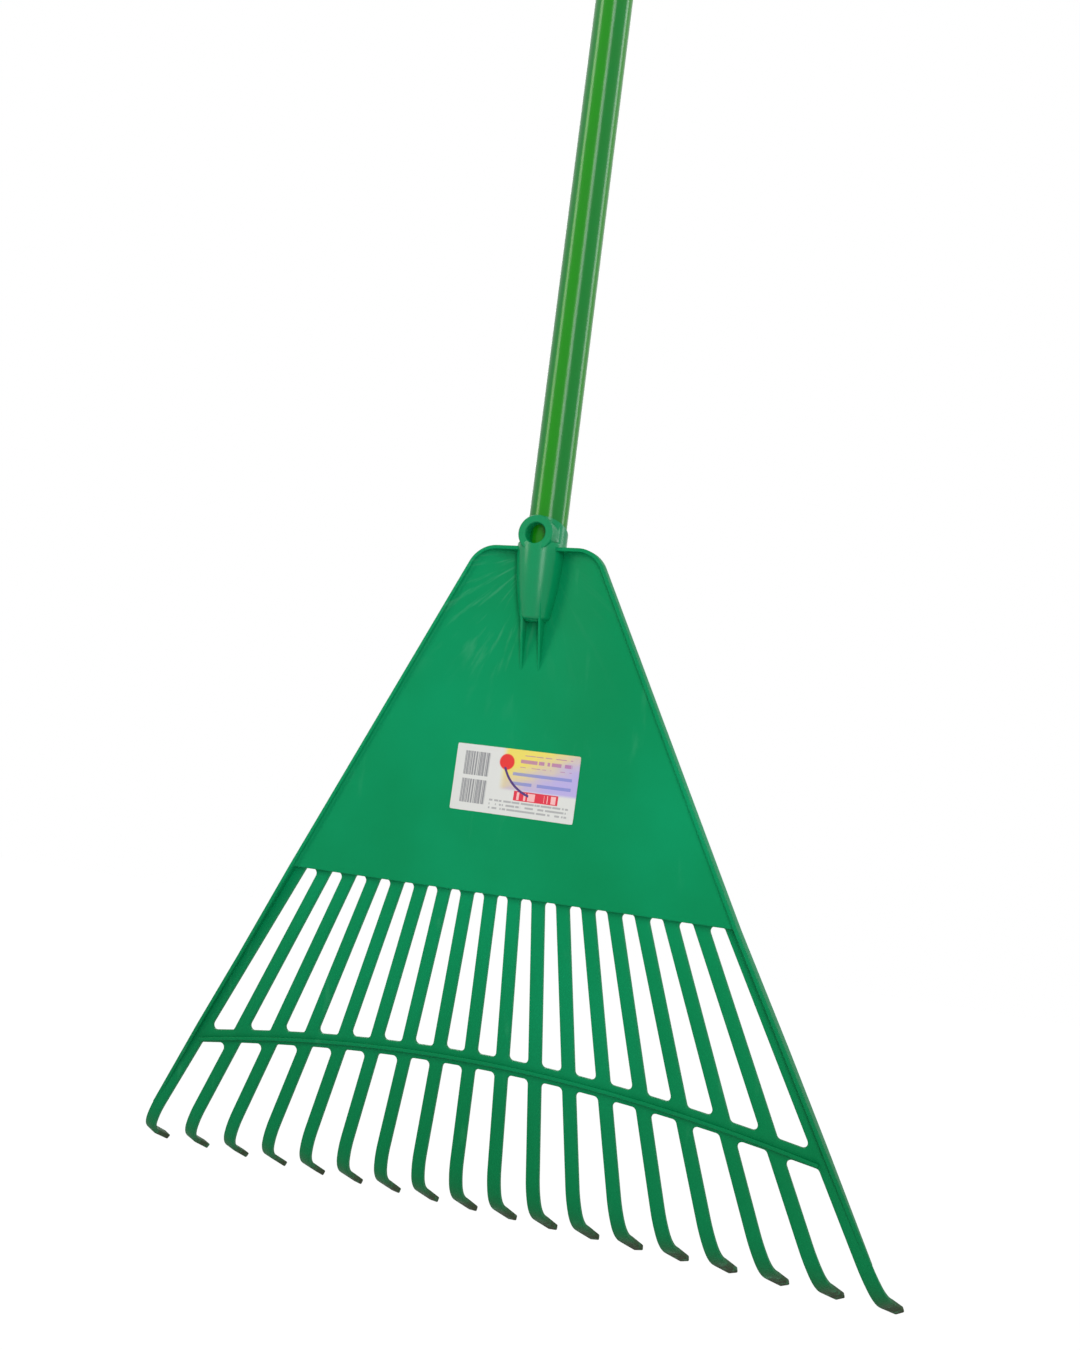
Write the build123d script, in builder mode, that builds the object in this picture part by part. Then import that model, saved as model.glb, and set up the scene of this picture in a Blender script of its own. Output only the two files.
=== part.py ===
from build123d import *
import os
from math import atan, cos, pi, radians, sin

# Leaf rake: a plastic fan head pushed onto the end of a film-covered steel handle.
# The origin is the centre of the hanging hole at the handle's top. +Z runs up the handle,
# +X is to the right seen from the front, and +Y is to the back, where the tines hook to.

os.makedirs("parts", exist_ok=True)

# Handle: a steel tube with a plastic film shrunk over it
handle_diameter = 22.0
film_thickness = 0.25
film_gap = 0.02
tube_wall = 0.5
tube_length = 1166.0
handle_radius = handle_diameter / 2
tube_radius = handle_radius - film_thickness - film_gap

# Cap on the handle's top end, with the hanging hole
hang_hole_diameter = 9.0
tongue_width = 20.0
tongue_thickness = 8.0
cap_wall = 1.6
cap_depth = 28.0
cap_roof = 3.0
cap_gap = 0.1
hole_to_roof = 13.0

# Plug in the handle's lower end
plug_gap = 0.1
plug_spigot = 18.0
plug_flange = 1.5
nose_length = 14.0
nose_top_radius = 10.4
nose_end_radius = 6.6

# Socket of the head, measured along the handle from the plate's lower edge
socket_floor = 158.0
socket_end = 151.0
socket_end_radius = 8.0
socket_belly = 165.5
socket_belly_radius = 10.8
socket_shoulder = 181.0
socket_radius = 12.6
collar_height = 204.0
collar_radius = 12.1
collar_slope = 24.0
bore_clearance = 0.05
seat_gap = 0.2
nose_clearance = 0.4
eye_height = 198.7
eye_diameter = 20.6
eye_hole_diameter = 11.6
eye_face = 16.6
eye_back = 5.0

# Rounded front of the socket, which stands on the plate and runs parallel to it
brow_depth = 6.0
brow_end = 152.0
brow_end_radius = 9.2
brow_rounding = 2.7
brow_belly = 163.0
brow_belly_radius = 10.95
brow_shoulder = 190.0
brow_radius = 13.9
brow_top = 195.0

# Head: the plane of the tines leans back from the handle towards the tips
head_lean = 3.7
tine_setback = 2.8

# Tines, fanned out from one point above the plate's lower edge
tine_count = 18
fan_height = 244.8
tine_pitch = 14.0
fan_spread = 0.082
tine_width = 7.4
tine_thickness = 3.0
tine_rounding = 0.7
bend_height = -158.5
bend_sag = 2.6
bend_radius = 40.0
bend_angle = 20.0
hook_radius = 18.0
hook_angle = 63.0
hook_length = 23.7
hook_tip_width = 5.2
hook_taper = 21.5

# Plate with its raised rims
plate_height = 192.6
plate_top_half_width = 35.2
plate_corner_radius = 18.0
plate_thickness = 2.6
plate_step = 3.1
plate_lean = 4.3
rim_thickness = 2.2
rim_height = 2.0
wall_drop = 2.2
lip_dish = 0.4
dish_depth = 7.2
dish_reach = 140.0
dish_steps = 10
section_heights = (0, 35, 70, 105, 140, 170)
lip_wall = 3.0
slot_rounding = 2.6
root_height = 26.0

# Flanges on the outer tines: height, and how far the front and the back stand off the middle
flange_line = ((0, 6.6, 1.5), (-55, 4.4, 3.7), (-100, 3.9, 3.5), (-150, 1.5, 1.5))

# Two gussets under the socket
gusset_spacing = 10.6
gusset_thickness = 1.6
gusset_end = 124.0
gusset_top = 162.0
gusset_height = 9.4

# Cross bar that ties the tines together
bar_height_middle = -90.4
bar_height_end = -108.5
bar_half_span = 184.0
bar_width = 8.0
bar_rib_width = 2.0
bar_rib_height = 2.2

# Sticker
label_width = 73.7
label_height = 36.8
label_centre = 61.7
label_turn = -1.0
label_thickness = 0.15
label_corner = 1.2

# Where the handle and the head stand
tube_top = -hole_to_roof - cap_roof
tube_end = tube_top - tube_length
handle_end = tube_end - plug_flange - nose_length
plate_base = handle_end - seat_gap - socket_floor
lean = radians(head_lean)
up = Vector(0, -sin(lean), cos(lean))
front = Vector(0, -cos(lean), -sin(lean))
head_origin = Vector(0, tine_setback, plate_base)
head_plane = Plane(origin=head_origin, x_dir=(1, 0, 0), z_dir=front)

tine_face = tine_thickness / 2
plate_face = tine_face + plate_step
rim_face = plate_face + rim_height
plate_reach = 4 * rim_face


def finish(piece, name):
    """Label a finished piece and write it as its own node."""
    piece.part.label = name
    export_step(piece.part, "parts/" + name + ".step")


def tine_share(tine):
    """Place of a tine in the fan, from -1 at the left to +1 at the right."""
    return 2 * tine / (tine_count - 1) - 1


def tine_offset(tine):
    """Distance of a tine's centre line from the middle at the plate's lower edge."""
    share = tine_share(tine)
    return tine_pitch * share * (tine_count - 1) / 2 * (1 + fan_spread * share**2)


def tine_angle(tine):
    """Angle of a tine from the middle line, in radians."""
    return atan(tine_offset(tine) / fan_height)


def tine_edge(tine, side, height):
    """Point on a tine's left (-1) or right (+1) edge at a height in the head's plane."""
    reach = tine_offset(tine) * (fan_height - height) / fan_height
    return (reach + side * tine_width / 2 / cos(tine_angle(tine)), height)


def bar_height(x):
    """Height of the cross bar's centre line, a shallow arch."""
    return bar_height_middle + (bar_height_end - bar_height_middle) * (x / bar_half_span) ** 2


def fan_plane(tine, offset=0.0):
    """Plane through a tine: x runs down the tine from the fan's apex, y to the back."""
    turn = tine_angle(tine)
    down = Vector(1, 0, 0) * sin(turn) - up * cos(turn)
    across = Vector(1, 0, 0) * cos(turn) + up * sin(turn)
    apex = head_origin + up * fan_height
    return Plane(origin=apex + across * offset, x_dir=down, z_dir=across)


def section_plane(height):
    """Plane square to the head's plane at a height: y runs to the back."""
    return Plane(origin=head_origin + up * height, x_dir=(1, 0, 0), z_dir=up)


def half_width(height):
    """Half the plate's width at a height."""
    base = tine_edge(tine_count - 1, 1, 0)[0]
    return base + (plate_top_half_width - base) * height / plate_height


edge_angle = atan((half_width(0) - half_width(plate_height)) / plate_height)
rim_span = rim_thickness / cos(edge_angle)
slot_depth = slot_rounding + 0.4


def leaned(height):
    """How far the plate and its rims have leaned to the back at a height."""
    return plate_lean * height / plate_height


def dished(share, height):
    """Place of the plate's face, counted to the back from the tines' middle plane."""
    reach = min(height / dish_reach, 1)
    depth = lip_dish + (dish_depth - lip_dish) * sin(reach * pi / 2)
    return leaned(height) - plate_face + depth * cos(share * pi / 2) ** 2


def in_head(height, back):
    """Point of the head's side view, in the handle's own frame."""
    point = head_origin + up * height - front * back
    return (point.Y, point.Z)


def plate_line(height, shift):
    """Points across the plate's dished face at a height, shifted to the back."""
    span = half_width(height)
    shares = [2 * step / dish_steps - 1 for step in range(dish_steps + 1)]
    return [(share * span, dished(share, height) + shift) for share in shares]


# ---------------------------------------------------------------- handle
with BuildPart() as handle_tube:
    with BuildSketch(Plane.XY.offset(tube_end)):
        Circle(tube_radius)
        Circle(tube_radius - tube_wall, mode=Mode.SUBTRACT)
    extrude(amount=tube_length)
finish(handle_tube, "handle_tube")

with BuildPart() as handle_cover:
    with BuildSketch(Plane.XY.offset(tube_end)):
        Circle(handle_radius)
        Circle(handle_radius - film_thickness, mode=Mode.SUBTRACT)
    extrude(amount=tube_length)
finish(handle_cover, "handle_cover")

# The cap is a cup over the handle's end with a flat, holed tongue on its roof.
cup_radius = handle_radius + cap_gap + cap_wall
with BuildPart() as hang_cap:
    with BuildSketch(Plane.XY.offset(tube_top - cap_depth)):
        Circle(cup_radius)
    extrude(amount=cap_depth + cap_roof)
    fillet(hang_cap.faces().sort_by(Axis.Z)[-1].edges(), cap_wall)
    with BuildSketch(Plane.XY.offset(tube_top - cap_depth)):
        Circle(handle_radius + cap_gap)
    extrude(amount=cap_depth, mode=Mode.SUBTRACT)
    with BuildSketch(Plane.XZ):
        Circle(tongue_width / 2)
        with Locations((0, -hole_to_roof / 2)):
            Rectangle(tongue_width, hole_to_roof)
    extrude(amount=tongue_thickness / 2, both=True)
    fillet(hang_cap.edges().filter_by(GeomType.CIRCLE).group_by(Axis.Z)[-1], 1.5)
    with BuildSketch(Plane.XZ):
        Circle(hang_hole_diameter / 2)
    extrude(amount=tongue_thickness, both=True, mode=Mode.SUBTRACT)
finish(hang_cap, "hang_cap")

# The plug's spigot fills the tube's end, and its nose leads the handle into the socket.
spigot_radius = tube_radius - tube_wall - plug_gap
with BuildPart() as handle_plug:
    with BuildSketch(Plane.XZ):
        with BuildLine():
            Polyline(
                (0, tube_end + plug_spigot),
                (spigot_radius, tube_end + plug_spigot),
                (spigot_radius, tube_end),
                (handle_radius, tube_end),
                (handle_radius, tube_end - plug_flange),
                (nose_top_radius, tube_end - plug_flange),
                (nose_end_radius, handle_end),
                (0, handle_end),
                close=True,
            )
        make_face()
    revolve(axis=Axis.Z)
finish(handle_plug, "handle_plug")

# ---------------------------------------------------------------- socket
bore_radius = handle_radius + bore_clearance
floor_radius = nose_end_radius + nose_clearance
bore_end = socket_floor + seat_gap + nose_length - nose_clearance
rounding_drop = 2.0
collar_rise = collar_radius * sin(radians(collar_slope)) / cos(radians(collar_slope))

# The back is turned about the handle's axis and the front about a line on the plate's
# face, with the eye's boss above it. The plate is cut to fit round all three.
brow_origin = head_origin - front * brow_depth
with BuildPart() as socket_body:
    with BuildSketch(Plane.XZ):
        with BuildLine():
            base = plate_base
            Line((0, base + socket_end), (socket_end_radius - rounding_drop, base + socket_end))
            RadiusArc(
                (socket_end_radius - rounding_drop, base + socket_end),
                (socket_end_radius, base + socket_end + rounding_drop),
                -rounding_drop,
            )
            ThreePointArc(
                (socket_end_radius, base + socket_end + rounding_drop),
                (socket_belly_radius, base + socket_belly),
                (socket_radius, base + socket_shoulder),
            )
            Polyline(
                (socket_radius, base + socket_shoulder),
                (collar_radius, base + collar_height - collar_rise),
                (collar_radius, base + collar_height + collar_rise),
                (0, base + collar_height + collar_rise),
                (0, base + socket_end),
            )
        make_face()
    revolve(axis=Axis.Z)
    with BuildSketch(Plane(origin=brow_origin, x_dir=(1, 0, 0), z_dir=front)):
        with BuildLine():
            Line((0, brow_end), (brow_end_radius - brow_rounding, brow_end))
            RadiusArc(
                (brow_end_radius - brow_rounding, brow_end),
                (brow_end_radius, brow_end + brow_rounding),
                -brow_rounding,
            )
            ThreePointArc(
                (brow_end_radius, brow_end + brow_rounding),
                (brow_belly_radius, brow_belly),
                (brow_radius, brow_shoulder),
            )
            Polyline((brow_radius, brow_shoulder), (brow_radius, brow_top), (0, brow_top))
            Line((0, brow_top), (0, brow_end))
        make_face()
    revolve(axis=Axis(brow_origin, up))
    with BuildSketch(Plane.XZ.offset(eye_back)):
        with Locations((0, plate_base + eye_height)):
            Circle(eye_diameter / 2)
    extrude(amount=eye_face - eye_back)

collar_top = Plane(
    origin=(0, 0, plate_base + collar_height),
    x_dir=(1, 0, 0),
    z_dir=(0, sin(radians(collar_slope)), cos(radians(collar_slope))),
)
with BuildPart() as socket:
    add(socket_body.part)
    split(bisect_by=collar_top, keep=Keep.BOTTOM)
    with BuildSketch(Plane.XZ):
        with BuildLine():
            Polyline(
                (0, plate_base + socket_floor),
                (floor_radius, plate_base + socket_floor),
                (bore_radius, plate_base + bore_end),
                (bore_radius, plate_base + collar_height + 2 * collar_radius),
                (0, plate_base + collar_height + 2 * collar_radius),
                close=True,
            )
        make_face()
    revolve(axis=Axis.Z, mode=Mode.SUBTRACT)
    with BuildSketch(Plane.XZ):
        with Locations((0, plate_base + eye_height)):
            Circle(eye_hole_diameter / 2)
    extrude(amount=eye_face + brow_radius, mode=Mode.SUBTRACT)
finish(socket, "socket")

# ---------------------------------------------------------------- slots between the tines
slot_end = bend_height - bend_radius
with BuildSketch(head_plane) as upper_slots:
    for tine in range(tine_count - 1):
        left = tine_edge(tine, 1, 0)
        right = tine_edge(tine + 1, -1, 0)
        floor_left = bar_height(tine_edge(tine, 1, bar_height_middle)[0]) + bar_width / 2
        floor_right = bar_height(tine_edge(tine + 1, -1, bar_height_middle)[0]) + bar_width / 2
        with BuildLine():
            Polyline(
                left,
                right,
                tine_edge(tine + 1, -1, floor_right),
                tine_edge(tine, 1, floor_left),
                close=True,
            )
        make_face()
    fillet(upper_slots.vertices(), slot_rounding)

with BuildSketch(head_plane) as lower_slots:
    for tine in range(tine_count - 1):
        roof_left = bar_height(tine_edge(tine, 1, bar_height_middle)[0]) - bar_width / 2
        roof_right = bar_height(tine_edge(tine + 1, -1, bar_height_middle)[0]) - bar_width / 2
        with BuildLine():
            Polyline(
                tine_edge(tine, 1, roof_left),
                tine_edge(tine + 1, -1, roof_right),
                tine_edge(tine + 1, -1, slot_end),
                tine_edge(tine, 1, slot_end),
                close=True,
            )
        make_face()
    fillet(lower_slots.vertices(), slot_rounding)

# ---------------------------------------------------------------- plate
section_list = section_heights + (plate_height,)

with BuildSketch(head_plane) as plate_outline:
    with BuildLine():
        Polyline(
            (-half_width(0), 0),
            (half_width(0), 0),
            (half_width(plate_height), plate_height),
            (-half_width(plate_height), plate_height),
            close=True,
        )
    make_face()
    fillet(plate_outline.vertices().group_by(Axis.Y)[-1], plate_corner_radius)

inner_top = plate_height - rim_thickness
with BuildSketch(head_plane) as inner_outline:
    with BuildLine():
        Polyline(
            (-half_width(0) + rim_span, 0),
            (half_width(0) - rim_span, 0),
            (half_width(inner_top) - rim_span, inner_top),
            (-half_width(inner_top) + rim_span, inner_top),
            close=True,
        )
    make_face()
    fillet(inner_outline.vertices().group_by(Axis.Y)[-1], plate_corner_radius - rim_thickness)

# The hollow in front of the plate's dished face, inside the rims
with BuildPart() as hollow:
    for height in section_list:
        open_side = leaned(height) - rim_face - 1
        with BuildSketch(section_plane(height)):
            with BuildLine():
                ends = [(half_width(height), open_side), (-half_width(height), open_side)]
                Polyline(*plate_line(height, 0), *ends, close=True)
            make_face()
    loft(ruled=True)
    extrude(inner_outline.sketch, amount=plate_reach, both=True, mode=Mode.INTERSECT)

# The wall that stands round the plate's edge, deeper than the plate is thick
with BuildPart() as edge_wall:
    extrude(plate_outline.sketch, amount=plate_reach, both=True)
    extrude(inner_outline.sketch, amount=plate_reach, both=True, mode=Mode.SUBTRACT)
    with BuildSketch(Plane.YZ):
        with BuildLine():
            Polyline(
                in_head(0, -rim_face),
                in_head(plate_height, plate_lean - rim_face),
                in_head(plate_height, tine_face + wall_drop),
                in_head(0, tine_face),
                close=True,
            )
        make_face()
    extrude(amount=2 * half_width(0), both=True, mode=Mode.INTERSECT)

with BuildPart() as head_panel:
    for height in section_list:
        rim_line = leaned(height) - rim_face
        with BuildSketch(section_plane(height)):
            with BuildLine():
                ends = [(half_width(height), rim_line), (-half_width(height), rim_line)]
                Polyline(*plate_line(height, plate_thickness), *ends, close=True)
            make_face()
    loft(ruled=True)
    extrude(plate_outline.sketch, amount=plate_reach, both=True, mode=Mode.INTERSECT)
    add(edge_wall.part)
    # The lip's wall steps back to the tines.
    with BuildSketch(head_plane.offset(-tine_face)):
        with BuildLine():
            Polyline(
                (-half_width(0), 0),
                (half_width(0), 0),
                (half_width(lip_wall), lip_wall),
                (-half_width(lip_wall), lip_wall),
                close=True,
            )
        make_face()
    extrude(amount=tine_face + plate_face)
    # Each tine goes on up behind the plate as a short root.
    with BuildSketch(head_plane.offset(-tine_face)):
        for tine in range(tine_count):
            with BuildLine():
                Polyline(
                    tine_edge(tine, -1, 0),
                    tine_edge(tine, 1, 0),
                    tine_edge(tine, 1, root_height),
                    tine_edge(tine, -1, root_height),
                    close=True,
                )
            make_face()
    extrude(amount=tine_face + plate_face - plate_thickness / 2)
    add(hollow.part, mode=Mode.SUBTRACT)
    # Below the lip the rims go on down to where the tines begin.
    for side in (-1, 1):
        with BuildSketch(head_plane.offset(-tine_face)):
            with BuildLine():
                Polyline(
                    (side * half_width(0), 0),
                    (side * half_width(-slot_depth), -slot_depth),
                    (side * (half_width(-slot_depth) - rim_span), -slot_depth),
                    (side * (half_width(0) - rim_span), 0),
                    close=True,
                )
            make_face()
        extrude(amount=tine_face + rim_face)
    # A web goes round the slots' rounded tops.
    with BuildSketch(head_plane.offset(-tine_face)):
        with BuildLine():
            Polyline(
                (-half_width(-slot_depth), -slot_depth),
                (half_width(-slot_depth), -slot_depth),
                (half_width(0), 0),
                (-half_width(0), 0),
                close=True,
            )
        make_face()
        add(upper_slots.sketch_local, mode=Mode.SUBTRACT)
    extrude(amount=tine_thickness)
    # Gussets brace the socket's lower end.
    for side in (-1, 1):
        with BuildSketch(Plane.YZ.offset(side * gusset_spacing / 2 - gusset_thickness / 2)):
            with BuildLine():
                Polyline(
                    in_head(gusset_end, dished(0, gusset_end) + 1),
                    in_head(gusset_top, dished(0, gusset_top) + 1),
                    in_head(gusset_top, dished(0, gusset_top) - gusset_height),
                    close=True,
                )
            make_face()
        extrude(amount=gusset_thickness)
    add(socket_body.part, mode=Mode.SUBTRACT)
finish(head_panel, "head_panel")

# ---------------------------------------------------------------- sticker on the plate
with BuildPart() as label:
    for height in section_list:
        with BuildSketch(section_plane(height)):
            with BuildLine():
                back_line = plate_line(height, 0)
                front_line = plate_line(height, -label_thickness)
                Polyline(*back_line, *reversed(front_line), close=True)
            make_face()
    loft(ruled=True)
    with BuildSketch(head_plane):
        with Locations(Location((0, label_centre, 0), (0, 0, label_turn))):
            RectangleRounded(label_width, label_height, label_corner)
    extrude(amount=plate_reach, both=True, mode=Mode.INTERSECT)
finish(label, "label")

# ---------------------------------------------------------------- tines
tine_top = Plane(origin=head_origin - up * slot_depth, x_dir=(1, 0, 0), z_dir=up)
for tine in range(tine_count):
    down = 1 / cos(tine_angle(tine))
    corner_reach = (fan_height - bend_height + bend_sag * tine_share(tine) ** 2) * down
    bend_reach = corner_reach - bend_radius * sin(radians(bend_angle))
    with BuildPart() as one_tine:
        with BuildLine(fan_plane(tine)) as run:
            straight = Line((fan_height * down, 0), (bend_reach, 0))
            bend = JernArc(straight @ 1, straight % 1, bend_radius, bend_angle)
            corner = JernArc(bend @ 1, bend % 1, hook_radius, hook_angle - bend_angle)
            Line(corner @ 1, corner @ 1 + (corner % 1) * hook_length)
        with BuildSketch(Plane(origin=run.line @ 0, x_dir=fan_plane(tine).z_dir, z_dir=run.line % 0)):
            RectangleRounded(tine_width, tine_thickness, tine_rounding)
        sweep()
        # The hook narrows evenly towards its tip.
        across = fan_plane(tine).z_dir
        root_width = hook_tip_width + (tine_width - hook_tip_width) * 2 * fan_height / hook_taper
        with BuildSketch(Plane(origin=run.line @ 1, x_dir=across, z_dir=across.cross(run.line % 1))):
            with BuildLine():
                Polyline(
                    (-hook_tip_width / 2, 1),
                    (-hook_tip_width / 2, 0),
                    (-root_width / 2, -2 * fan_height),
                    (root_width / 2, -2 * fan_height),
                    (hook_tip_width / 2, 0),
                    (hook_tip_width / 2, 1),
                    close=True,
                )
            make_face()
        extrude(amount=2 * fan_height, both=True, mode=Mode.INTERSECT)
        split(bisect_by=tine_top, keep=Keep.BOTTOM)
    finish(one_tine, "tine_%02d" % (tine + 1))

# Walls stand on the front and the back of the two outer tines and carry the plate's
# edge wall on down, thinning out above the bend.
for side, tine in ((-1, 0), (1, tine_count - 1)):
    down = 1 / cos(tine_angle(tine))
    stations = [((fan_height - height) * down, -ahead, behind) for height, ahead, behind in flange_line]
    start = stations[0][0]
    with BuildPart() as edge_flange:
        with BuildSketch(fan_plane(tine, side * tine_width / 2)):
            with BuildLine():
                crest = [(reach, ahead) for reach, ahead, behind in stations]
                Polyline((start, -tine_face), *crest, close=True)
            make_face()
            with BuildLine():
                crest = [(reach, behind) for reach, ahead, behind in stations]
                Polyline(*crest, close=True)
            make_face()
        extrude(amount=-side * rim_thickness)
        split(bisect_by=tine_top, keep=Keep.BOTTOM)
    finish(edge_flange, "edge_flange_left" if side < 0 else "edge_flange_right")

# ---------------------------------------------------------------- cross bar
# One short web between each pair of tines, with rounded corners
with BuildPart() as cross_bar:
    with BuildSketch(head_plane.offset(-tine_face)):
        for tine in range(tine_count - 1):
            above = bar_height_middle + bar_width
            below = bar_height_end - 2 * bar_width
            with BuildLine():
                Polyline(
                    tine_edge(tine, 1, above),
                    tine_edge(tine + 1, -1, above),
                    tine_edge(tine + 1, -1, below),
                    tine_edge(tine, 1, below),
                    close=True,
                )
            make_face()
        add(upper_slots.sketch_local, mode=Mode.SUBTRACT)
        add(lower_slots.sketch_local, mode=Mode.SUBTRACT)
    extrude(amount=tine_thickness)
finish(cross_bar, "cross_bar")

# A thin rib runs along the bar's front, over the tines, from flange to flange.
rib_end = bar_half_span - rim_span
with BuildPart() as cross_bar_rib:
    with BuildSketch(head_plane.offset(tine_face)):
        with BuildLine():
            ThreePointArc(
                (-rib_end, bar_height(rib_end)),
                (0, bar_height_middle),
                (rib_end, bar_height(rib_end)),
            )
        trace(line_width=bar_rib_width)
    extrude(amount=bar_rib_height)
finish(cross_bar_rib, "cross_bar_rib")
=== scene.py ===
import math

import bmesh
import bpy
from mathutils import Matrix, Vector
from mathutils.geometry import delaunay_2d_cdt


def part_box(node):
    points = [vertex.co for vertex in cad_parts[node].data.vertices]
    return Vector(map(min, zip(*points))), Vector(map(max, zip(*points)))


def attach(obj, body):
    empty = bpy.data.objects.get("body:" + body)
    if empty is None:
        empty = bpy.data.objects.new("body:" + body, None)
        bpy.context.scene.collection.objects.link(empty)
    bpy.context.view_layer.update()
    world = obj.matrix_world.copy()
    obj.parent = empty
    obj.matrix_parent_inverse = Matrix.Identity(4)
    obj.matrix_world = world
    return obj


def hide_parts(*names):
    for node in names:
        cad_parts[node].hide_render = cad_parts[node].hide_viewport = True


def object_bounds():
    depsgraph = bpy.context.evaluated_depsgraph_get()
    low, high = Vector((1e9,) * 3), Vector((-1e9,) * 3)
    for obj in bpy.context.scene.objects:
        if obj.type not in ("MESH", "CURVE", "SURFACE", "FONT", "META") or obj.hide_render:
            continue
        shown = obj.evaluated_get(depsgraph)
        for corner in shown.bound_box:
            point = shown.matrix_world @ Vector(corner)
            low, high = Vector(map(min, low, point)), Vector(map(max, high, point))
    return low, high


# Leaf rake: the looks of its pieces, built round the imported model. Sizes on the
# head are in mm, and those on the handle are in metres.
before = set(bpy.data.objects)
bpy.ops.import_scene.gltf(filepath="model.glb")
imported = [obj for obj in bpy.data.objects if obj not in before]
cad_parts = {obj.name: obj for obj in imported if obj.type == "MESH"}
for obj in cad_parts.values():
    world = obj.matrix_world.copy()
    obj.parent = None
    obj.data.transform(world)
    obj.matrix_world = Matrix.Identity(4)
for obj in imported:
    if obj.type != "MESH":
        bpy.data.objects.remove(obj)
cad_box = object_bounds()

# ---------------------------------------------------------------- film on the handle
# The steel tube is sleeved in a thin glossy PVC film, shrunk on hot and closed by a lapped
# seam down the back. Its green drifts between yellower and bluer round the handle.


class Wire:
    """A shader socket: sums on it add Math nodes, and add() adds any other node."""

    def __init__(self, tree, socket=None):
        self.tree = tree
        self.socket = socket

    def add(self, kind, settings, inputs, output=0):
        node = self.tree.nodes.new("ShaderNode" + kind)
        for name, value in settings.items():
            setattr(node, name, value)
        for name, value in inputs.items():
            if isinstance(value, Wire):
                self.tree.links.new(value.socket, node.inputs[name])
            else:
                node.inputs[name].default_value = value
        return Wire(self.tree, node.outputs[output] if len(node.outputs) else None)

    def maths(self, operation, *values):
        return self.add("Math", {"operation": operation}, dict(enumerate(values)))

    def __add__(self, other):
        return self.maths("ADD", self, other)

    def __radd__(self, other):
        return self.maths("ADD", other, self)

    def __sub__(self, other):
        return self.maths("SUBTRACT", self, other)

    def __rsub__(self, other):
        return self.maths("SUBTRACT", other, self)

    def __mul__(self, other):
        return self.maths("MULTIPLY", self, other)

    def __rmul__(self, other):
        return self.maths("MULTIPLY", other, self)

    def __gt__(self, other):
        return self.maths("GREATER_THAN", self, other)

    def __lt__(self, other):
        return self.maths("LESS_THAN", self, other)

    def between(self, low, high):
        """1 where the value lies between low and high."""
        return (self > low) * (self < high)

    def ease(self, low, high):
        """0 up to low and 1 from high, smooth in between."""
        settings = {"interpolation_type": "SMOOTHSTEP"}
        return self.add("MapRange", settings, {0: self, 1: low, 2: high, 3: 0, 4: 1})

    def blend(self, first, second):
        """One colour where the value is 0 and another where it is 1."""
        settings = {"data_type": "RGBA"}
        first, second = (c if isinstance(c, Wire) else (*c, 1) for c in (first, second))
        return self.add("Mix", settings, {0: self, 6: first, 7: second}, output=2)

    def finish_with(self, **inputs):
        """Closes the material with one Principled shader."""
        named = {name.replace("_", " "): value for name, value in inputs.items()}
        shader = self.add("BsdfPrincipled", {}, named)
        self.add("OutputMaterial", {}, {"Surface": shader})


def new_finish(name):
    material = bpy.data.materials.new(name)
    material.use_nodes = True
    material.node_tree.nodes.clear()
    return material, Wire(material.node_tree)


def place_on(start):
    """The three object coordinates of a surface, in metres."""
    place = start.add("TexCoord", {}, {}, output=3)
    split = [start.add("SeparateXYZ", {}, {0: place}, output=axis) for axis in range(3)]
    return place, split


def make_mesh(name, points, faces, crease=38):
    """One closed mesh, welded, with smooth shading up to a crease angle in degrees."""
    mesh = bpy.data.meshes.new(name)
    mesh.from_pydata([tuple(p) for p in points], [], faces)
    work = bmesh.new()
    work.from_mesh(mesh)
    bmesh.ops.remove_doubles(work, verts=work.verts, dist=2e-6)
    bmesh.ops.dissolve_degenerate(work, edges=work.edges, dist=1e-6)
    bmesh.ops.recalc_face_normals(work, faces=work.faces)
    work.to_mesh(mesh)
    work.free()
    mesh.shade_smooth()
    mesh.set_sharp_from_angle(angle=math.radians(crease))
    piece = bpy.data.objects.new(name, mesh)
    bpy.context.scene.collection.objects.link(piece)
    return piece


def settle(piece, material, body, slot_name, *nodes):
    """Gives a piece its finish and its body, and hides the nodes that it stands for."""
    piece.data.materials.clear()
    piece.data.materials.append(material)
    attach(piece, body)
    if nodes:
        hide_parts(*nodes)


def about_handle(radius, height, turn):
    """A point beside the handle's axis, in metres; the back is a quarter turn on."""
    return (radius * math.cos(turn), radius * math.sin(turn), height)


def turned(name, profile, steps, spot_at=about_handle):
    """Turns a closed profile of (radius, place along the axis) about an axis."""
    points, faces = [], []
    for step in range(steps):
        turn = 2 * math.pi * step / steps
        points += [spot_at(radius, along, turn) for radius, along in profile]
    count = len(profile)
    for step in range(steps):
        here, there = step * count, (step + 1) % steps * count
        for k in range(count):
            after = (k + 1) % count
            faces.append((here + k, there + k, there + after, here + after))
    return make_mesh(name, points, faces)


film_low, film_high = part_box("handle_cover")
film_radius = 0.011
film_inner = 0.01078
film_rings = 60
seam_width = math.radians(13)
seam_rise = 0.00012
film_run = film_high.z - film_low.z
film_heights = [film_low.z + film_run * k / film_rings for k in range(film_rings + 1)]
film_profile = [(film_radius, height) for height in film_heights]
film_profile += [(film_inner, film_high.z), (film_inner, film_low.z)]


def lapped(radius, height, turn):
    """The seam's lap stands a little proud at the back."""
    at_lap = 0 < turn - math.pi / 2 < seam_width
    return about_handle(radius + (seam_rise if at_lap else 0), height, turn)


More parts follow.
